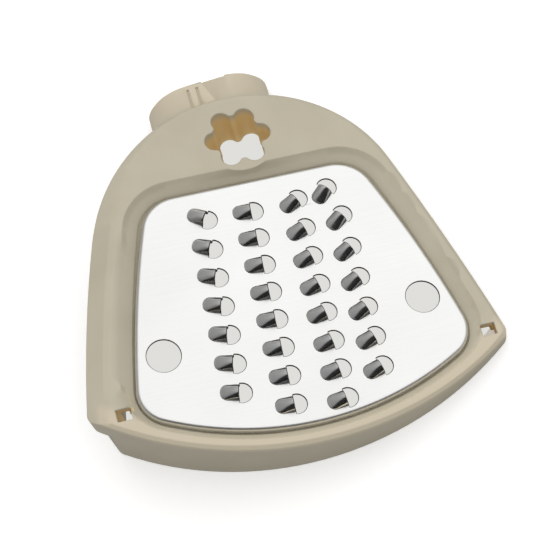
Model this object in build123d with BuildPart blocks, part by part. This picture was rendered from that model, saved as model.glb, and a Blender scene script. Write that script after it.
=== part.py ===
"""Grating disc insert of a food processor: a wedge-shaped moulded holder that turns on
its socket, and the pressed steel grating plate that is set into its sloping top."""
import os
from math import atan2, cos, degrees, radians, sin, sqrt

from build123d import *

# Holder: a sector of a disc around the socket, flat underneath, with a sloping top
rim_radius = 85.3  # outer wall, about the socket's axis
hub_height = 15.0  # top face above the base, at the socket's axis
tilt = radians(11.5)  # fall of the top face towards +X
corner_angle = radians(35.9)  # from the middle of the rim to a front corner
hub_end = 12.5  # reach of the rounded end behind the socket
shoulder = (35.7, -14.0)  # where the rounded end runs into a side
corner_radius = 3.0
shoulder_shift = (1.23, 0.83)  # how the left shoulder moves for each millimetre of bulge
lip_bulge = 6.0  # how far the upper body's high side stands out
base_bulge = 2.8  # the same of the lower body, under the lip
lip_height = 15.3
undercut_limit = (-20.0, 0.0)  # where the lip's underside runs out behind the grip
ridge_start = (-52.3, -78.0)  # upper edge of the bevel on the high side, on the top face
ridge_flank = (-43.6, -38.0)
ridge_shoulder = (-36.2, -15.0)
ridge_bend = (-29.0, -1.7)
ridge_end = (-16.0, 8.2)
bevel_angle = 45.0
bevel_depth = 30.0
edge_break = 0.9
wall = 2.2
roof = 2.4

# Socket: six lobes around a core, in a round boss
core_radius = 6.4
lobe_radius = 2.6
lobe_reach = 6.0
lobes = 6
lobe_round = 0.9
boss_radius = 10.0

# Square eyes through the front corners
eye_place = (45.4, -67.4)
eye_size = (3.6, 3.1)

# Grip behind the socket: a half-round stub with flutes and a notch
grip_centre = -5.0
grip_half_width = 16.5
grip_top = 13.2
grip_corner = 12.0
grip_end = 20.4
grip_root = 6.0
flute_places = (-9.0, -6.5, 4.7)
flute_width = 0.6
flute_depth = 0.35
flute_run = (11.0, 18.6)
notch_width = 6.4
notch_centre = -1.8
notch_depth = 0.9
notch_height = 3.0

# Grating plate: pressed sheet with a turned-down edge
sheet = 0.6
plate_back = -12.6  # straight edge towards the socket
plate_back_half = 28.0
plate_side = (36.8, -40.0)
plate_front_radius = 80.3
plate_front_half = 43.0
back_corner_radius = 10.0
plate_corner_radius = 9.0
plate_drop = 1.1  # plate's face under the holder's top face
turn_down = 2.1
bend_radius = 0.9

# Recess of the holder around the plate: growth beside the plate and radius in front
gap_grow, gap_front = 0.8, 81.1
ledge_grow, ledge_front = 2.6, 82.0
slope_grow, slope_front = 4.0, 82.9
ledge_drop = 2.0
seat_width = 1.2
tray_wall = 2.0

# Teeth, in slanting columns: place at column_level, radius of the first, count
columns = ((-15.1, 27.1, 7), (-2.2, 23.5, 8), (10.8, 25.1, 8), (21.5, 28.7, 7))
column_level = -22.5
column_slant = 0.068
tooth_pitch = 7.59
widest_angle = radians(43.0)
hood_width = 4.1
hood_height = 2.2  # of the cutting edge above the plate's face
hood_shoulder = 1.6  # corner taken off the hood's section
outer_flats, inner_flats = 3, 1  # of each shoulder
hood_ramp = radians(24.0)  # rise of the hood towards its cutting edge
edge_lean = radians(11.0)  # how far the cutting edge leans back over the hood
hole_radius = 2.5
hole_sides = 16
hole_centre = 0.5  # in front of the cutting edge

# Two round holes at the sides of the plate
round_place = (33.3, -54.5)
round_radius = 4.25

top_face = Plane(
    origin=(0, 0, hub_height),
    x_dir=(cos(tilt), 0, -sin(tilt)),
    z_dir=(sin(tilt), 0, cos(tilt)),
)
upwards = Axis(top_face.origin, top_face.z_dir)
plate_face = top_face.offset(-plate_drop)
seat_face = plate_face.offset(-turn_down)
tall = 3 * hub_height


def body_outline(bulge, inset=0.0):
    """Plan of the holder: the left side stands out by bulge, and the walls come in by inset."""
    radius = rim_radius - inset
    right_angle = corner_angle - inset / rim_radius
    left_angle = right_angle + bulge / rim_radius
    right_corner = (radius * sin(right_angle), -radius * cos(right_angle))
    left_corner = (-radius * sin(left_angle), -radius * cos(left_angle))
    back = (0, hub_end - inset)
    right_shoulder = (shoulder[0] - inset, shoulder[1])
    left_shoulder = (
        inset - shoulder[0] - shoulder_shift[0] * bulge,
        shoulder[1] - shoulder_shift[1] * bulge,
    )
    with BuildSketch() as plan:
        with BuildLine():
            right_end = TangentArc(back, right_shoulder, tangent=(1, 0))
            TangentArc(right_shoulder, right_corner, tangent=right_end % 1)
            ThreePointArc(right_corner, (0, -radius), left_corner)
            left_end = TangentArc(back, left_shoulder, tangent=(-1, 0))
            TangentArc(left_shoulder, left_corner, tangent=left_end % 1)
        make_face()
        fillet(plan.vertices().sort_by(Axis.Y)[:2], corner_radius)
    return plan.sketch


def plate_outline(grow=0.0, front=plate_front_radius):
    """Outline of the plate, or of the recess around it, on the sloping face."""
    half_front = plate_front_half + grow
    half_back = plate_back_half + grow
    back = plate_back + grow
    front_y = -sqrt(front**2 - half_front**2)
    side = plate_side[0] + grow
    with BuildSketch() as outline:
        with BuildLine():
            Line((-half_back, back), (half_back, back))
            ThreePointArc((half_back, back), (side, plate_side[1]), (half_front, front_y))
            ThreePointArc((half_front, front_y), (0, -front), (-half_front, front_y))
            ThreePointArc((-half_front, front_y), (-side, plate_side[1]), (-half_back, back))
        make_face()
        fillet(outline.vertices().sort_by(Axis.Y)[-2:], back_corner_radius + grow)
        fillet(outline.vertices().sort_by(Axis.Y)[:2], plate_corner_radius + grow)
    return outline.sketch


def tooth_place(level, first_radius, row):
    """Where one tooth sits: middle of its cutting edge, turned so that the edge is radial."""
    reach = first_radius + row * tooth_pitch
    start = level - column_slant * column_level
    square = 1 + column_slant**2
    half_term = start * column_slant
    y = (-half_term - sqrt(half_term**2 - square * (start**2 - reach**2))) / square
    angle = min(atan2(start + column_slant * y, -y), widest_angle)
    middle = reach - hood_width / 2
    place = Location((middle * sin(angle), -middle * cos(angle), 0), (0, 0, degrees(angle)))
    return plate_face.location * place


tooth_places = [
    tooth_place(level, first_radius, row)
    for level, first_radius, count in columns
    for row in range(count)
]


def hood_form(inset, foot, flats):
    """Slanting tunnel of one hood, from its cutting edge down through the sheet, or its inside."""
    edge_face = Plane(origin=(0, 0, 0), x_dir=(0, 1, 0), z_dir=(cos(edge_lean), 0, sin(edge_lean)))
    side = hood_width / 2 - inset
    height = hood_height / cos(edge_lean) - inset
    corner = hood_shoulder - inset
    turns = [radians(90) * step / flats for step in range(flats + 1)]
    half = [(side - corner * (1 - cos(turn)), height - corner * (1 - sin(turn))) for turn in turns]
    other_half = [(-x, y) for x, y in reversed(half)]
    with BuildPart() as form:
        with BuildSketch(edge_face):
            with BuildLine():
                Polyline((side, -foot), *half, *other_half, (-side, -foot), close=True)
            make_face()
        extrude(amount=hood_run, dir=(-cos(hood_ramp), 0, -sin(hood_ramp)))
    return form.part


def grip_section(inset=0.0):
    """Half-round outline of the grip, or of its hollow."""
    height = grip_top - inset
    with BuildSketch() as section:
        with Locations((grip_centre, height / 2)):
            Rectangle(2 * (grip_half_width - inset), height)
        fillet(section.vertices().group_by(Axis.Y)[-1], grip_corner - inset)
    return section.sketch


# One tooth: the hood over the sheet, the way under it, and the hole before its cutting edge
hood_run = (hood_height + 2 * sheet) / sin(hood_ramp)
with BuildPart() as hood:
    add(hood_form(0.0, sheet, outer_flats))
    split(bisect_by=Plane.XY.offset(-sheet / 2), keep=Keep.TOP)
with BuildPart() as mouth:
    add(hood_form(sheet, 3 * sheet, inner_flats))
    with BuildSketch(Plane.XY.offset(-2 * sheet)):
        with Locations((hole_centre, 0)):
            RegularPolygon(hole_radius, hole_sides)
        Rectangle(tall, tall, align=(Align.MAX, Align.CENTER), mode=Mode.SUBTRACT)
    extrude(amount=3 * sheet)

# Hollow of the holder, open underneath
with BuildPart() as hollow:
    with BuildSketch():
        add(body_outline(base_bulge, wall))
    extrude(amount=tall)
    split(bisect_by=top_face.offset(-roof), keep=Keep.BOTTOM)

# Boss of the socket, up to the top face
with BuildPart() as boss:
    Cylinder(boss_radius, tall, align=(Align.CENTER, Align.CENTER, Align.MIN))
    split(bisect_by=top_face, keep=Keep.BOTTOM)

# Grip: half-round stub behind the rounded end, hollow underneath and fluted on top
with BuildPart() as grip:
    with BuildSketch(Plane.XZ.offset(-grip_end)):
        add(grip_section())
    extrude(amount=grip_end - grip_root)
    chamfer(grip.faces().sort_by(Axis.Y)[-1].edges().filter_by(GeomType.CIRCLE), edge_break)
    with BuildSketch(Plane.XZ.offset(wall - grip_end)):
        add(grip_section(wall))
    extrude(amount=grip_end - wall - hub_end, mode=Mode.SUBTRACT)
    with BuildSketch(Plane.XY.offset(grip_top)):
        for place in flute_places:
            with Locations((place, sum(flute_run) / 2)):
                Rectangle(flute_width, flute_run[1] - flute_run[0])
    extrude(amount=-flute_depth, mode=Mode.SUBTRACT)
    with BuildSketch(Plane.XY.offset(grip_top)):
        with Locations((notch_centre, grip_end)):
            Rectangle(notch_width, 2 * notch_depth)
    extrude(amount=-notch_height, mode=Mode.SUBTRACT)

# Holder, moulded in one piece: the high side is bevelled and stands over a lip
with BuildPart() as holder:
    with BuildSketch():
        add(body_outline(lip_bulge))
    extrude(amount=tall)
    with BuildSketch(top_face):
        with BuildLine():
            side_ridge = ThreePointArc(ridge_start, ridge_flank, ridge_shoulder)
            end_ridge = ThreePointArc(ridge_shoulder, ridge_bend, ridge_end)
            front_out = side_ridge @ 0 - (side_ridge % 0) * tall
            back_out = end_ridge @ 1 + (end_ridge % 1) * 2 * tall
            Line(ridge_end, back_out)
            Polyline(back_out, (back_out.X, front_out.Y), front_out, ridge_start)
        make_face()
    extrude(amount=-bevel_depth, taper=-bevel_angle, mode=Mode.INTERSECT)
    chamfer(holder.faces().sort_by(upwards)[-1].edges(), edge_break)
    with BuildSketch() as undercut:
        add(body_outline(lip_bulge, -corner_radius))
        with Locations(undercut_limit):
            Rectangle(tall * 4, tall * 8, align=(Align.MIN, Align.CENTER), mode=Mode.SUBTRACT)
        add(body_outline(base_bulge), mode=Mode.SUBTRACT)
    extrude(amount=lip_height, mode=Mode.SUBTRACT)
    add(grip.part)
    add(hollow.part, mode=Mode.SUBTRACT)
    with BuildSketch(seat_face.offset(-tray_wall)):
        add(plate_outline(gap_grow + tray_wall, gap_front + tray_wall))
    extrude(amount=tray_wall + turn_down + plate_drop)
    with BuildSketch(top_face):
        add(plate_outline(slope_grow, slope_front))
    with BuildSketch(top_face.offset(-ledge_drop)):
        add(plate_outline(ledge_grow, ledge_front))
    loft(ruled=True, mode=Mode.SUBTRACT)
    with BuildSketch(seat_face):
        add(plate_outline(gap_grow, gap_front))
    extrude(amount=tall, mode=Mode.SUBTRACT)
    with BuildSketch(top_face):
        add(plate_outline(-seat_width, plate_front_radius - seat_width))
    extrude(amount=-tall, mode=Mode.SUBTRACT)
    add(boss.part)
    with BuildSketch() as socket:
        Circle(core_radius)
        with PolarLocations(lobe_reach, lobes):
            Circle(lobe_radius)
        fillet(socket.vertices(), lobe_round)
    extrude(amount=tall, mode=Mode.SUBTRACT)
    with BuildSketch():
        with Locations(eye_place, (-eye_place[0], eye_place[1])):
            Rectangle(*eye_size)
    extrude(amount=tall, mode=Mode.SUBTRACT)

# Grating plate, pressed from one sheet
with BuildPart() as grating_plate:
    with BuildSketch(plate_face):
        add(plate_outline())
    extrude(amount=-turn_down)
    fillet(grating_plate.faces().sort_by(upwards)[-1].edges(), bend_radius)
    with BuildSketch(seat_face):
        add(plate_outline(-sheet, plate_front_radius - sheet))
    extrude(amount=turn_down - sheet, mode=Mode.SUBTRACT)
    with Locations(*tooth_places):
        add(hood.part)
    with Locations(*tooth_places):
        add(mouth.part, mode=Mode.SUBTRACT)
    with BuildSketch(plate_face):
        with Locations(round_place, (-round_place[0], round_place[1])):
            Circle(round_radius)
    extrude(amount=-2 * sheet, mode=Mode.SUBTRACT)

os.makedirs("parts", exist_ok=True)
holder.part.label = "holder"
grating_plate.part.label = "grating_plate"
export_step(holder.part, "parts/holder.step")
export_step(grating_plate.part, "parts/grating_plate.step")
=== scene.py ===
# %% [markdown]
# A grating disc insert, dressed for its portrait. The frame brings two solids in their
# places: the moulded holder and the pressed steel plate. Loading them first means that
# every later piece can be set where the real one sits, with no fitting by eye.

from math import acos, atan2, cos, pi, radians, sin, sqrt, tan

import bmesh
import bpy
from mathutils import Matrix, Vector


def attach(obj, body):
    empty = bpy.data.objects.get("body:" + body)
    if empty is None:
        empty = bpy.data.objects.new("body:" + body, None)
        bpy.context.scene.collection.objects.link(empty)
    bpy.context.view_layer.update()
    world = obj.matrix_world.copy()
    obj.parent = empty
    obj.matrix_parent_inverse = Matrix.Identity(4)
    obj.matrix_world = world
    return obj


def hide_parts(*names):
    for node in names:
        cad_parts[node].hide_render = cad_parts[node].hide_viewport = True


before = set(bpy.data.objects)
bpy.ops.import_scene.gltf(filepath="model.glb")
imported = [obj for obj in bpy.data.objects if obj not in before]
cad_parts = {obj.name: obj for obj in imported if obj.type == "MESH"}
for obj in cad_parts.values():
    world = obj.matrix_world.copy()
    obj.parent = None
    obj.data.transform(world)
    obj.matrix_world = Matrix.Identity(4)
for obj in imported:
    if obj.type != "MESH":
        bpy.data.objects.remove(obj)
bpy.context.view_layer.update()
holder_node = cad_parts["holder"]
mm = 0.001
print("nodes", sorted(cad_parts))


# %% [markdown]
# Shader maths reads best as sums. A node tree could be wired by hand, socket by socket,
# but a small wrapper with operators lets a mask be written as an expression, and one
# method makes any other node, so each finish below is only a few lines.

# %% Shader expressions
class Value:
    """A socket of a node tree that can be added, multiplied and compared."""

    def __init__(self, tree, socket):
        self.tree = tree
        self.socket = socket

    def maths(self, operation, *others):
        inputs = {place: other for place, other in enumerate((self, *others))}
        return make(self.tree, "ShaderNodeMath", {"operation": operation}, inputs)[0]

    def reflected(self, operation, other):
        return make(self.tree, "ShaderNodeMath", {"operation": operation}, {0: other, 1: self})[0]

    def __add__(self, other):
        return self.maths("ADD", other)

    def __radd__(self, other):
        return self.maths("ADD", other)

    def __sub__(self, other):
        return self.maths("SUBTRACT", other)

    def __rsub__(self, other):
        return self.reflected("SUBTRACT", other)

    def __mul__(self, other):
        return self.maths("MULTIPLY", other)

    def __rmul__(self, other):
        return self.maths("MULTIPLY", other)

    def __lt__(self, other):
        return self.maths("LESS_THAN", other)

    def __gt__(self, other):
        return self.maths("GREATER_THAN", other)

    def __abs__(self):
        return self.maths("ABSOLUTE")

    def larger(self, other):
        return self.maths("MAXIMUM", other)

    def root(self):
        return self.maths("SQRT")

    def between(self, low, high):
        """0 up to low, 1 from high on, and smooth in between."""
        settings = {"interpolation_type": "SMOOTHSTEP"}
        ends = {"Value": self, "From Min": low, "From Max": high}
        return make(self.tree, "ShaderNodeMapRange", settings, ends)[0]


def make(tree, kind, settings=None, inputs=None):
    """A node with its settings and its sockets' values or links, as a list of its outputs."""
    node = tree.nodes.new(kind)
    for name, value in (settings or {}).items():
        setattr(node, name, value)
    for place, value in (inputs or {}).items():
        if isinstance(value, Value):
            tree.links.new(value.socket, node.inputs[place])
        else:
            node.inputs[place].default_value = value
    return [Value(tree, socket) for socket in node.outputs]


def by_name(outputs):
    """A node's outputs under their own names."""
    return {output.socket.name: output for output in outputs}


def blend_colours(tree, factor, first, second):
    """One colour where factor is 0 and the other where it is 1."""
    node = tree.nodes.new("ShaderNodeMix")
    node.data_type = "RGBA"
    tree.links.new(factor.socket, node.inputs["Factor"])
    for name, value in (("A", first), ("B", second)):
        socket = [s for s in node.inputs if s.name == name and s.type == "RGBA"][0]
        if isinstance(value, Value):
            tree.links.new(value.socket, socket)
        else:
            socket.default_value = (*value, 1.0)
    return Value(tree, [s for s in node.outputs if s.type == "RGBA"][0])


def new_finish(name):
    """An empty material: its tree and its output node."""
    finish = bpy.data.materials.new(name)
    finish.use_nodes = True
    finish.node_tree.nodes.clear()
    out = finish.node_tree.nodes.new("ShaderNodeOutputMaterial")
    return finish, finish.node_tree, out


def object_place(tree):
    """Object coordinates as a vector and as three numbers, in metres."""
    place = by_name(make(tree, "ShaderNodeTexCoord"))["Object"]
    return place, make(tree, "ShaderNodeSeparateXYZ", None, {0: place})


print("shader helpers ready")

# %% [markdown]
# The photograph was taken from above the curved rim with a long lens, turned a little, so
# the part lies askew in the picture. The camera's place and axes were worked out from the
# round holes, the socket and the spacing of the teeth, and are set as they are.

# %% Camera
lens_length = 111.83
film_width = 36.0
camera_place = Vector((0.405, -209.0, 406.14)) * mm
camera_right = Vector((0.95528, -0.27005, -0.12046))
camera_up = Vector((0.29567, 0.87769, 0.37715))
camera_back = Vector((0.00388, -0.39590, 0.91828))
camera_data = bpy.data.cameras.new("camera")
camera_data.lens = lens_length
camera_data.sensor_width = film_width
camera_data.clip_start = 0.01
camera_data.clip_end = 10.0
camera = bpy.data.objects.new("camera", camera_data)
camera_turn = Matrix((camera_right, camera_up, camera_back)).transposed().to_4x4()
camera.matrix_world = Matrix.Translation(camera_place) @ camera_turn
bpy.context.scene.collection.objects.link(camera)
bpy.context.scene.camera = camera
bpy.context.scene.view_settings.view_transform = "Standard"
print("camera at", [round(v, 4) for v in camera.location])

# %% [markdown]
# The light is a broad soft dome, a little stronger behind the part. Lamps could give it,
# but bright steel shows the whole room, so the world itself is painted: a white panel
# overhead, grey walls, and a dark card at the front, where the photographer stands.
# Rays that come straight off the steel see that room, all other light is the plain
# dome, and the background stays white.

# %% Studio
upwards, backwards = (0, 0, 1), (0, 1, 0)
panel_aim, panel_edge, panel_light = (0.40, 0.40, 0.82), (0.85, 0.95), 0.88
card_aim, card_edge, card_light = (0.0, -0.80, 0.60), (0.60, 0.74), 0.006
wall_light, wall_by_panel, low_wall_light = 0.15, 0.27, 0.25
halo_edge, low_wall_edge, back_edge = (0.3, 0.85), (0.62, 0.9), (-0.1, 0.3)
dome_edge, dome_light = (0.05, 0.5), 0.62
back_aim, back_spread, back_light = (0.10, 0.78, 0.62), (0.2, 1.0), 0.55
least_light = 0.20
second_mirror = 0.08
world = bpy.data.worlds.new("studio")
bpy.context.scene.world = world
world.use_nodes = True
sky = world.node_tree
sky.nodes.clear()
direction = by_name(make(sky, "ShaderNodeTexCoord"))["Generated"]


def facing(aim):
    """How nearly a ray of the sky points that way: 1 straight there, 0 square to it."""
    vectors = {0: direction, 1: Vector(aim).normalized()}
    return make(sky, "ShaderNodeVectorMath", {"operation": "DOT_PRODUCT"}, vectors)[1]


panel = facing(panel_aim)
dark_card = facing(card_aim).between(*card_edge)
low_wall = (1 - abs(facing(upwards))).between(*low_wall_edge)
low_wall = low_wall * facing(backwards).between(*back_edge)
walls = panel.between(*halo_edge) * wall_by_panel + low_wall * low_wall_light + wall_light
mirrored = (1 - dark_card) * walls + panel.between(*panel_edge) * panel_light + card_light
dome = facing(upwards).between(*dome_edge) * dome_light
plain = dome + facing(back_aim).between(*back_spread) * back_light + least_light
rays = by_name(make(sky, "ShaderNodeLightPath"))
seen = rays["Is Camera Ray"]
straight_mirror = rays["Is Glossy Ray"] * (rays["Diffuse Depth"] < 0.5)
first_mirror = second_mirror + (1 - second_mirror) * (rays["Glossy Depth"] < 1.5)
level = plain * (1 - straight_mirror) + mirrored * first_mirror * straight_mirror
level = level * (1 - seen) + seen
white = (1, 1, 1, 1)
background = make(sky, "ShaderNodeBackground", None, {"Color": white, "Strength": level})[0]
world_out = sky.nodes.new("ShaderNodeOutputWorld")
sky.links.new(background.socket, world_out.inputs["Surface"])
print("studio painted with", len(sky.nodes), "nodes")

# %% [markdown]
# The floor is white and takes the soft shadow under the rim. The photograph shows a pale
# ground through every hole, as on a light table, so the patch beneath the part glows and
# warms the walls of the socket and the eyes. The rest of the floor is plain paper, lifted
# a little for the camera so that it is white away from the part. Its lower side is clear,
# so that the part can be looked at from below.

# %% Floor
floor_half = 1.5
floor_drop = 0.05
glow_reach, glow_back, hub_glow = 80.0, -6.0, 10.5
glow_right, right_slant = 13.5, 0.55
glow_left, left_slant = -16.5, 0.60
glow_colour = (0.74, 0.735, 0.71, 1)
glow_hidden_from_steel = 0.95
paper_for_light, paper_for_camera, paper_lift = 0.55, 0.88, 0.30
floor_mesh = bpy.data.meshes.new("floor")
corners = [(x, y, 0.0) for x, y in ((-1, -1), (1, -1), (1, 1), (-1, 1))]
floor_mesh.from_pydata(corners, [], [(0, 1, 2, 3)])
lower = Matrix.Translation((0, 0, -floor_drop * mm))
floor_mesh.transform(lower @ Matrix.Scale(floor_half, 4))
floor = bpy.data.objects.new("floor", floor_mesh)
bpy.context.scene.collection.objects.link(floor)
print("floor", floor_half * 2, "m wide")

# %% White paper with a glowing patch
floor_finish, tree, out = new_finish("white_floor")
_, (x, y, _) = object_place(tree)
reach = (x * x + y * y).root()
inside_right = x < glow_right * mm - right_slant * y
inside_left = x > left_slant * y + glow_left * mm
under_wedge = (reach < glow_reach * mm) * inside_right * inside_left * (y < glow_back * mm)
under = under_wedge.larger(reach < hub_glow * mm)
rays = by_name(make(tree, "ShaderNodeLightPath"))
seen, glossy = rays["Is Camera Ray"], rays["Is Glossy Ray"]
tone = paper_for_light + (paper_for_camera - paper_for_light) * seen
paper_tone = make(tree, "ShaderNodeCombineColor", None, {0: tone, 1: tone, 2: tone})[0]
paper = make(tree, "ShaderNodeBsdfDiffuse", None, {"Color": paper_tone})[0]
lift = make(tree, "ShaderNodeEmission", None, {"Strength": seen * paper_lift})[0]
lifted = make(tree, "ShaderNodeAddShader", None, {0: paper, 1: lift})[0]
glow_level = 1 - glow_hidden_from_steel * glossy
glow = make(tree, "ShaderNodeEmission", None, {"Color": glow_colour, "Strength": glow_level})[0]
upper_side = make(tree, "ShaderNodeMixShader", None, {0: under, 1: lifted, 2: glow})[0]
clear = make(tree, "ShaderNodeBsdfTransparent")[0]
underneath = by_name(make(tree, "ShaderNodeNewGeometry"))["Backfacing"]
ground = make(tree, "ShaderNodeMixShader", None, {0: underneath, 1: upper_side, 2: clear})[0]
tree.links.new(ground.socket, out.inputs["Surface"])
floor_mesh.materials.append(floor_finish)
print("paper", len(tree.nodes), "nodes")

# %% [markdown]
# The holder is moulded in a warm grey-beige plastic with a fine matte skin. The colour is
# nearly even, with slow cloudy changes from the mould. Light is painted into it: a
# lighter, warmer tint at the grip and along the rim stands for light through the thin
# walls, and painted warm light browns the deep walls of the socket and the eyes. A flat
# colour would look like clay, so a fine grain goes into the bump, and the edges are
# softened where the mould was rounded.

# %% Moulded plastic
hub_height = 15.0
tilt = radians(11.5)
socket_reach, socket_fade = 9.4, (0.4, 4.0)
eye_place, eye_half, eye_fade = (45.4, -67.4), (2.3, 2.1), (0.4, 3.0)
eye_wall_sides, eye_wall_back, eye_wall_reach = (-49.0, -43.2), -60.5, 83.5
eye_wall_fade = (1.5, 4.0)
grip_fade, rim_fade, rim_depth = (10.0, 15.0), (79.5, 82.5), (0.8, 3.5)
beige, light_beige = (0.500, 0.452, 0.342), (0.535, 0.488, 0.376)
# Painted light: a lighter, warmer tint for light through thin walls, and warm light in the socket
# and the eyes.
painted_through_light, socket_painted_warm_light, eye_painted_warm_light = (0.645, 0.565, 0.424), (0.77, 0.585, 0.275), (0.96, 0.69, 0.29)
soft_edge = 0.6


def metres(pair):
    """Two lengths in millimetres as metres."""
    return [length * mm for length in pair]


plastic, tree, out = new_finish("moulded_plastic")
place, (x, y, z) = object_place(tree)
reach = (x * x + y * y).root()
depth = hub_height * mm - tan(tilt) * x - z
# Where painted warm light goes: the deep walls of the socket, the eyes and the wall by the left
# eye.
in_socket = (reach < socket_reach * mm) * depth.between(*metres(socket_fade))
eye_across = abs(abs(x) - eye_place[0] * mm) < eye_half[0] * mm
eye_along = abs(y - eye_place[1] * mm) < eye_half[1] * mm
in_eye = eye_across * eye_along * depth.between(*metres(eye_fade))
left, right = metres(eye_wall_sides)
eye_wall = (x > left) * (x < right) * (y < eye_wall_back * mm) * (reach < eye_wall_reach * mm)
eye_wall = eye_wall * depth.between(*metres(eye_wall_fade))
# Where the painted light through thin walls goes: the grip and the top of the front rim.
in_grip = y.between(*metres(grip_fade))
on_rim = reach.between(*metres(rim_fade)) * (1 - depth.between(*metres(rim_depth))) * (y < 0)
print("masks of the plastic ready")

# %% Skin of the plastic
noise = {"Vector": place, "Scale": 60.0, "Detail": 3.0}
cloud = make(tree, "ShaderNodeTexNoise", None, noise)[0]
noise = {"Vector": place, "Scale": 2600.0, "Detail": 2.0}
grain = make(tree, "ShaderNodeTexNoise", None, noise)[0]
skin = blend_colours(tree, cloud.between(0.3, 0.7), beige, light_beige)
# Painted light through the thin walls at the grip and along the rim.
skin = blend_colours(tree, in_grip.larger(on_rim) * 0.85, skin, painted_through_light)
# Painted warm light in the deep walls of the socket and the eyes.
skin = blend_colours(tree, in_socket * 0.95, skin, socket_painted_warm_light)
skin = blend_colours(tree, in_eye.larger(eye_wall) * 0.95, skin, eye_painted_warm_light)
softened = make(tree, "ShaderNodeBevel", {"samples": 6}, {"Radius": soft_edge * mm})[0]
relief = {"Strength": 0.12, "Distance": 0.1 * mm, "Height": grain, "Normal": softened}
surface_inputs = {
    "Base Color": skin,
    "Roughness": 0.42 + 0.16 * cloud,
    "Specular IOR Level": 0.4,
    "Normal": make(tree, "ShaderNodeBump", None, relief)[0],
}
surface = make(tree, "ShaderNodeBsdfPrincipled", None, surface_inputs)[0]
tree.links.new(surface.socket, out.inputs["Surface"])
print("plastic", len(tree.nodes), "nodes")

# %% [markdown]
# The holder's form is the solid's own. Its mesh comes as loose triangles, so a copy is
# welded and shaded smooth, and only edges sharper than a slight bend stay sharp. Built
# anew it could only drift from the solid.

# %% Holder
weld_distance = 0.002
holder_smooth = radians(16.0)


def welded(mesh):
    """The same mesh with its doubled points merged."""
    work = bmesh.new()
    work.from_mesh(mesh)
    bmesh.ops.remove_doubles(work, verts=work.verts, dist=weld_distance * mm)
    work.to_mesh(mesh)
    work.free()
    return mesh


holder_mesh = welded(holder_node.data.copy())
holder_mesh.materials.clear()
holder_mesh.materials.append(plastic)
holder_mesh.shade_smooth()
holder_mesh.set_sharp_from_angle(angle=holder_smooth)
holder = bpy.data.objects.new("moulded_holder", holder_mesh)
bpy.context.scene.collection.objects.link(holder)
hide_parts("holder")
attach(holder, "root")
print("holder", len(holder_mesh.polygons), "faces")

# %% [markdown]
# The plate is bright rolled steel. It mirrors the studio almost cleanly, which makes its
# flat face white and the front of each hood black. Rolling leaves faint streaks along the
# sheet: they go into the roughness and, very lightly, into the bump. Pressing has polished
# the hoods, so they are smoother. The cut rims of the holes get a near-black colour, a
# painted dark reflection.

# %% Rolled steel
plate_drop = 1.1
hood_fade = (0.1, 0.4)
streak_stretch = (90.0, 2400.0, 90.0)
steel_grey, light_steel, rim_painted_reflection = (0.885, 0.885, 0.87), (0.91, 0.91, 0.895), (0.12, 0.12, 0.12)
sheet_roughness, streak_roughness, haze_roughness, hood_polish = 0.36, 0.06, 0.05, 0.24
steel, tree, out = new_finish("pressed_steel")
place, (x, _, z) = object_place(tree)
sheet_level = hub_height * cos(tilt) - plate_drop
risen = sin(tilt) * x + cos(tilt) * z - sheet_level * mm
on_hood = risen.between(*metres(hood_fade))
along = make(tree, "ShaderNodeMapping", None, {"Vector": place, "Scale": streak_stretch})[0]
noise = {"Vector": along, "Scale": 1.0, "Detail": 3.0}
streaks = make(tree, "ShaderNodeTexNoise", None, noise)[0]
noise = {"Vector": place, "Scale": 45.0, "Detail": 2.0}
haze = make(tree, "ShaderNodeTexNoise", None, noise)[0]
metal = blend_colours(tree, streaks.between(0.35, 0.65), steel_grey, light_steel)
# Painted dark reflection: the faces of the cut rims are coloured near-black.
cut_edge = by_name(make(tree, "ShaderNodeAttribute", {"attribute_name": "cut_edge"}))["Fac"]
metal = blend_colours(tree, cut_edge * 0.9, metal, rim_painted_reflection)
roughness = sheet_roughness + streak_roughness * streaks + haze_roughness * haze
relief = {"Strength": 0.005, "Distance": 0.05 * mm, "Height": streaks}
surface_inputs = {
    "Base Color": metal,
    "Metallic": 1.0,
    "Roughness": roughness - hood_polish * on_hood,
    "Normal": make(tree, "ShaderNodeBump", None, relief)[0],
}
surface = make(tree, "ShaderNodeBsdfPrincipled", None, surface_inputs)[0]
tree.links.new(surface.socket, out.inputs["Surface"])
print("steel", len(tree.nodes), "nodes")

# %% [markdown]
# The plate's outline is a straight back edge, two long side curves and a front arc about
# the socket, with rounded corners. Sampling arcs through three points and easing each
# corner with a conic gives the same line as the solid's, and it can be drawn smaller too,
# for the flat part inside the turned-down edge.

# %% Outline of the plate
plate_back = -12.6
plate_back_half = 28.0
plate_side = (36.8, -40.0)
plate_front_radius = 80.3
plate_front_half = 43.0
corner_radii = (10.0, 9.0, 9.0, 10.0)
bend_radius = 0.9
flat_lead = 0.3
turn_down = 2.1


def arc_through(start, middle, end, steps):
    """Points of the arc through three points."""
    (ax, ay), (bx, by), (cx, cy) = start, middle, end
    twice = 2 * (ax * (by - cy) + bx * (cy - ay) + cx * (ay - by))
    a2, b2, c2 = ax * ax + ay * ay, bx * bx + by * by, cx * cx + cy * cy
    ux = (a2 * (by - cy) + b2 * (cy - ay) + c2 * (ay - by)) / twice
    uy = (a2 * (cx - bx) + b2 * (ax - cx) + c2 * (bx - ax)) / twice
    radius = sqrt((ax - ux) ** 2 + (ay - uy) ** 2)
    first = atan2(ay - uy, ax - ux)
    sweep = (atan2(cy - uy, cx - ux) - first + pi) % (2 * pi) - pi
    turns = [first + sweep * step / steps for step in range(steps + 1)]
    return [Vector((ux + radius * cos(turn), uy + radius * sin(turn))) for turn in turns]


def trimmed(points, length):
    """The points without the first stretch of that length, starting at its very end."""
    for place in range(len(points) - 1):
        step = (points[place + 1] - points[place]).length
        if step > length:
            return [points[place].lerp(points[place + 1], length / step)] + points[place + 1:]
        length -= step
    return points[-1:]


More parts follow.
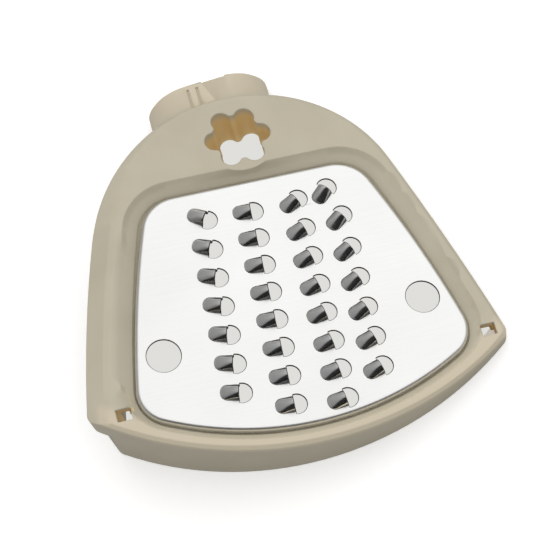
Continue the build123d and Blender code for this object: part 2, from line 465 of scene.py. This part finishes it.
def rounded_loop(sides, radii, corner_steps=14):
    """One closed line from four sides, with each corner at a side's end rounded."""
    cut = [list(side) for side in sides]
    corners = []
    for place, radius in enumerate(radii):
        after = (place + 1) % len(sides)
        corner = sides[place][-1]
        leaving = (sides[place][-2] - corner).normalized()
        going = (sides[after][1] - corner).normalized()
        half = acos(max(-1.0, min(1.0, leaving.dot(going)))) / 2
        reach = radius / tan(half)
        cut[place] = trimmed(cut[place][::-1], reach)[::-1]
        cut[after] = trimmed(cut[after], reach)
        corners.append((corner, sin(half)))
    loop = []
    for place, (corner, weight) in enumerate(corners):
        loop += cut[place]
        begin, end = cut[place][-1], cut[(place + 1) % len(cut)][0]
        for step in range(1, corner_steps):
            s = step / corner_steps
            shares = ((1 - s) ** 2, 2 * s * (1 - s) * weight, s * s)
            loop.append((begin * shares[0] + corner * shares[1] + end * shares[2]) / sum(shares))
    return loop


def plate_outline(inset):
    """Outline of the plate on its own face, drawn smaller by inset, in millimetres."""
    front = plate_front_radius - inset
    half_front = plate_front_half - inset
    half_back = plate_back_half - inset
    level = plate_back - inset
    side = plate_side[0] - inset
    front_y = -sqrt(front**2 - half_front**2)
    back_line = [Vector((half_back - 2 * half_back * i / 40, level)) for i in range(41)]
    left = arc_through((-half_back, level), (-side, plate_side[1]), (-half_front, front_y), 48)
    rim = arc_through((-half_front, front_y), (0, -front), (half_front, front_y), 72)
    right_side = arc_through((half_front, front_y), (side, plate_side[1]), (half_back, level), 48)
    radii = [radius - inset for radius in corner_radii]
    return rounded_loop((back_line, left, rim, right_side), radii)


flat_outline = plate_outline(bend_radius + flat_lead)
print("outline", len(flat_outline), "points")

# %% [markdown]
# Each tooth is a hood pressed up out of the sheet, with its cutting edge over a round
# hole. The teeth stand in four slanting columns, at equal steps of radius from the
# socket, and each is turned so that its edge points to the socket. That rule gives every
# place and turn, so no list of places is needed.

# %% Places of the teeth
columns = ((-15.1, 27.1, 7), (-2.2, 23.5, 8), (10.8, 25.1, 8), (21.5, 28.7, 7))
column_level = -22.5
column_slant = 0.068
tooth_pitch = 7.59
widest_angle = radians(43.0)
hood_width = 4.1
round_place = (33.3, -54.5)
round_radius = 4.25


def tooth_place(level, first_radius, row):
    """Middle of one cutting edge on the plate's face, and the tooth's turn."""
    reach = first_radius + row * tooth_pitch
    start = level - column_slant * column_level
    square = 1 + column_slant**2
    half_term = start * column_slant
    y = (-half_term - sqrt(half_term**2 - square * (start**2 - reach**2))) / square
    angle = min(atan2(start + column_slant * y, -y), widest_angle)
    middle = reach - hood_width / 2
    return Vector((middle * sin(angle), -middle * cos(angle), 0)), angle


teeth = [tooth_place(level, first, row) for level, first, count in columns for row in range(count)]
print("teeth", len(teeth))

# %% [markdown]
# One hood is drawn as a skin over a grid: along it the crown rises and levels off at the
# edge, and across it a round arch falls to the sheet. A narrow flat band round its foot
# keeps the join to the sheet smooth. The hole's outline runs on from that band, so one
# closed line is cut from the sheet for hood and hole together.

# %% One hood and its cut-out
hood_length = 4.9
hood_height = 2.2
hood_fullness = 2.0
hood_swell = 1.28
end_round = 0.42
end_power = 2.2
foot_band = 0.3
edge_lean = 0.42
hole_radius = 2.5
hole_centre = 0.5
along_steps = 16
across_steps = 18
row_crowding = 1.25
hole_steps = 40


def end_width(along):
    """Share of the full width, which closes in a round at the hood's blunt end."""
    return (1 - (1 - min(along / end_round, 1)) ** end_power) ** (1 / end_power)


def hood_points(along):
    """One row of points across the hood, from band to band."""
    half = hood_width / 2 * end_width(along)
    band_half = (hood_width / 2 + foot_band) * end_width(along)
    band_x = -(hood_length + foot_band) * (1 - along)
    row = [(band_x, -band_half, 0.0)]
    for step in range(across_steps + 1):
        share = 2 * step / across_steps - 1
        arch = max(0.0, 1 - abs(share) ** hood_fullness) ** (1 / hood_fullness)
        rise = hood_height * (1 - (1 - along) ** hood_swell) * arch
        lean = edge_lean * rise / hood_height * along
        row.append((-hood_length * (1 - along) - lean, half * share, rise))
    row.append((band_x, band_half, 0.0))
    return row


def piece_from(name, points, faces, edges=()):
    """A mesh object from points in millimetres, with doubled points merged."""
    mesh = bpy.data.meshes.new(name)
    mesh.from_pydata([Vector(point) * mm for point in points], list(edges), faces)
    made = bpy.data.objects.new(name, welded(mesh))
    bpy.context.scene.collection.objects.link(made)
    return made


rows = [hood_points((step / along_steps) ** row_crowding) for step in range(along_steps + 1)]
wide = len(rows[0])
hood = piece_from(
    "hood",
    [point for row in rows for point in row],
    [
        (i * wide + j, (i + 1) * wide + j, (i + 1) * wide + j + 1, i * wide + j + 1)
        for i in range(along_steps)
        for j in range(wide - 1)
    ],
)
hole_half = acos(-hole_centre / hole_radius)
hole_arc = [
    (hole_centre + hole_radius * cos(turn), hole_radius * sin(turn), 0.0)
    for turn in [hole_half * (2 * step / hole_steps - 1) for step in range(hole_steps + 1)]
]
cut_line = [row[-1] for row in rows[::-1]] + [row[0] for row in rows[1:]] + hole_arc
count = len(cut_line)
cut_out = piece_from("cut_out", cut_line, [], [(i, (i + 1) % count) for i in range(count)])
print("hood", len(hood.data.polygons), "faces, cut-out", count, "points")

# %% [markdown]
# Geometry Nodes set the hoods and cut the sheet. The seed holds the flat outline as a
# ring of edges, and one loose point for each tooth and round hole, with its turn and
# kind. The tree sets a cut-out on every tooth, fills what is left of the sheet, and sets
# the hoods over it. By hand this would be thirty copies and thirty cuts.

# %% Seed of the grating
outline_kind, tooth_kind, round_kind = 0, 1, 2
round_steps = 64
ring = [(point.x, point.y, 0.0) for point in flat_outline]
rounds = [(side * round_place[0], round_place[1], 0.0) for side in (1, -1)]
seed_points = ring + [tuple(spot) for spot, _ in teeth] + rounds
seed_mesh = bpy.data.meshes.new("grating_sheet")
ring_edges = [(i, (i + 1) % len(ring)) for i in range(len(ring))]
seed_mesh.from_pydata([Vector(point) * mm for point in seed_points], ring_edges, [])
turns = [0.0] * len(ring) + [turn for _, turn in teeth] + [0.0] * len(rounds)
kinds = [outline_kind] * len(ring) + [tooth_kind] * len(teeth) + [round_kind] * len(rounds)
seed_mesh.attributes.new("turn", "FLOAT", "POINT").data.foreach_set("value", turns)
seed_mesh.attributes.new("kind", "INT", "POINT").data.foreach_set("value", kinds)
seed = bpy.data.objects.new("grating_sheet", seed_mesh)
bpy.context.scene.collection.objects.link(seed)
print("seed", len(seed_points), "points")

# %% Grating tree
grating = bpy.data.node_groups.new("grating", "GeometryNodeTree")
sockets = {}
for name, kind in (
    ("Seed", "NodeSocketGeometry"),
    ("Hood", "NodeSocketObject"),
    ("Cut-out", "NodeSocketObject"),
    ("Round radius", "NodeSocketFloat"),
    ("Finish", "NodeSocketMaterial"),
):
    sockets[name] = grating.interface.new_socket(name, in_out="INPUT", socket_type=kind).identifier
grating.interface.new_socket("Grating", in_out="OUTPUT", socket_type="NodeSocketGeometry")
given = dict(zip(sockets, make(grating, "NodeGroupInput")))
reader = "GeometryNodeInputNamedAttribute"
turn = make(grating, reader, {"data_type": "FLOAT"}, {"Name": "turn"})[0]
kind = make(grating, reader, {"data_type": "INT"}, {"Name": "kind"})[0]
spin = make(grating, "ShaderNodeCombineXYZ", None, {"Z": turn})[0]


def places_of(number):
    """The seed's points of one kind."""
    settings = {"data_type": "INT", "operation": "EQUAL"}
    chosen = make(grating, "FunctionNodeCompare", settings, {2: kind, 3: number})[0]
    inputs = {"Mesh": given["Seed"], "Selection": chosen}
    return make(grating, "GeometryNodeMeshToPoints", None, inputs)[0]


def set_on(points, shape):
    """That shape on every point, turned as the point says, as real geometry."""
    inputs = {"Points": points, "Instance": shape, "Rotation": spin}
    copies = make(grating, "GeometryNodeInstanceOnPoints", None, inputs)[0]
    return make(grating, "GeometryNodeRealizeInstances", None, {"Geometry": copies})[0]


def joined(*parts):
    """Several geometries as one."""
    node = grating.nodes.new("GeometryNodeJoinGeometry")
    for part in reversed(parts):
        grating.links.new(part.socket, node.inputs[0])
    return Value(grating, node.outputs[0])


def shape_of(name):
    """The mesh of an object that is given to the tree."""
    info = make(grating, "GeometryNodeObjectInfo", None, {"Object": given[name]})
    return by_name(info)["Geometry"]


def line_of(mesh):
    """A mesh of edges as a line."""
    return make(grating, "GeometryNodeMeshToCurve", None, {"Mesh": mesh})[0]


tooth_points = places_of(tooth_kind)
outline_line = line_of(given["Seed"])
tooth_lines = line_of(set_on(tooth_points, shape_of("Cut-out")))
round_shape = {"Resolution": round_steps, "Radius": given["Round radius"]}
circle = make(grating, "GeometryNodeCurvePrimitiveCircle", None, round_shape)[0]
round_lines = set_on(places_of(round_kind), circle)
all_lines = joined(outline_line, tooth_lines, round_lines)
sheet = make(grating, "GeometryNodeFillCurve", None, {"Curve": all_lines})[0]
whole = joined(sheet, set_on(tooth_points, shape_of("Hood")))
finish = {"Geometry": whole, "Material": given["Finish"]}
dressed = make(grating, "GeometryNodeSetMaterial", None, finish)[0]
grating_out = grating.nodes.new("NodeGroupOutput")
grating.links.new(dressed.socket, grating_out.inputs[0])
print("grating tree", len(grating.nodes), "nodes")

# %% Flat sheet with its hoods
modifier = seed.modifiers.new("grating", "NODES")
modifier.node_group = grating
modifier[sockets["Hood"]] = hood
modifier[sockets["Cut-out"]] = cut_out
modifier[sockets["Round radius"]] = round_radius * mm
modifier[sockets["Finish"]] = steel
evaluated = seed.evaluated_get(bpy.context.evaluated_depsgraph_get())
plate_mesh = bpy.data.meshes.new_from_object(evaluated)
for helper in (seed, hood, cut_out):
    bpy.data.objects.remove(helper)
print("sheet", len(plate_mesh.polygons), "faces")

# %% [markdown]
# The sheet's edge is bent down all round and seats in the holder's recess. It is a short
# profile carried along the outline: a little of the flat, a quarter round and a straight
# fall. A bevelled box could give such an edge too, but the profile follows the outline
# exactly. The open edges are marked, because they are rolled a little later on.

# %% Turned-down edge
bend_steps = 8
sheet_weld = 0.003
profile = [(0.0, 0.0), (flat_lead, 0.0)]
for step in range(1, bend_steps + 1):
    bend = pi / 2 * step / bend_steps
    profile.append((flat_lead + bend_radius * sin(bend), -bend_radius * (1 - cos(bend))))
profile.append((flat_lead + bend_radius, -turn_down))
work = bmesh.new()
work.from_mesh(plate_mesh)
count = len(flat_outline)
loops = []
for out_by, level in profile:
    loop = []
    for place, point in enumerate(flat_outline):
        run = flat_outline[(place + 1) % count] - flat_outline[place - 1]
        outward = Vector((-run.y, run.x)).normalized() * -1
        spot = point + outward * out_by
        loop.append(work.verts.new(Vector((spot.x, spot.y, level)) * mm))
    loops.append(loop)
for inner, outer in zip(loops, loops[1:]):
    for place in range(count):
        after = (place + 1) % count
        work.faces.new((inner[place], outer[place], outer[after], inner[after]))
bmesh.ops.remove_doubles(work, verts=work.verts, dist=sheet_weld * mm)
bmesh.ops.recalc_face_normals(work, faces=work.faces)
highest = max(work.faces, key=lambda face: face.calc_center_median().z)
if highest.normal.z < 0:
    bmesh.ops.reverse_faces(work, faces=work.faces)
rim_weight = work.edges.layers.float.new("bevel_weight_edge")
for edge in work.edges:
    edge[rim_weight] = float(edge.is_boundary)
work.to_mesh(plate_mesh)
work.free()
print("pressing", len(plate_mesh.polygons), "faces")

# %% [markdown]
# The pressing is laid on the holder's slope and given the sheet's thickness. Its cut rims
# get a small roll. They also get a second slot of the same steel for a moment: the slot's
# number tells which faces are rim, and is kept as an attribute for the finish to read.

# %% Thickness and place
sheet_thickness = 0.6
rim_roll = 0.17
plate_smooth = radians(38.0)
across = (cos(tilt), 0, sin(tilt)), (0, 1, 0), (-sin(tilt), 0, cos(tilt))
to_hub = Matrix.Translation((0, 0, hub_height * mm))
into_recess = Matrix.Translation((0, 0, -plate_drop * mm))
plate_mesh.transform(to_hub @ Matrix(across).to_4x4() @ into_recess)
plate_mesh.materials.clear()
for slot_steel in (steel, steel):
    plate_mesh.materials.append(slot_steel)
plate_mesh.polygons.foreach_set("material_index", [0] * len(plate_mesh.polygons))
plate = bpy.data.objects.new("steel_grating_plate", plate_mesh)
bpy.context.scene.collection.objects.link(plate)
thicken = plate.modifiers.new("sheet", "SOLIDIFY")
thicken.thickness = sheet_thickness * mm
thicken.offset = -1.0
thicken.material_offset_rim = 1
rolled_rim = plate.modifiers.new("rolled_rim", "BEVEL")
rolled_rim.width = rim_roll * mm
rolled_rim.segments = 1
rolled_rim.material = 1
rolled_rim.use_clamp_overlap = False
rolled_rim.limit_method = "WEIGHT"
evaluated = plate.evaluated_get(bpy.context.evaluated_depsgraph_get())
thick_mesh = bpy.data.meshes.new_from_object(evaluated)
plate.modifiers.clear()
plate.data = thick_mesh
print("thick sheet", len(thick_mesh.polygons), "faces")

# %% Steel plate
cut_faces = [float(face.material_index) for face in thick_mesh.polygons]
cut_mark = thick_mesh.attributes.new("cut_edge", "FLOAT", "FACE")
cut_mark.data.foreach_set("value", cut_faces)
thick_mesh.polygons.foreach_set("material_index", [0] * len(cut_faces))
thick_mesh.materials.clear()
thick_mesh.materials.append(steel)
thick_mesh.shade_smooth()
thick_mesh.set_sharp_from_angle(angle=plate_smooth)
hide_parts("grating_plate")
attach(plate, "root")
print("plate", len(thick_mesh.polygons), "faces, of them rim", int(sum(cut_faces)))

# %% [markdown]
# Last, the script prints a closing line.

# %% End
print("scene built")
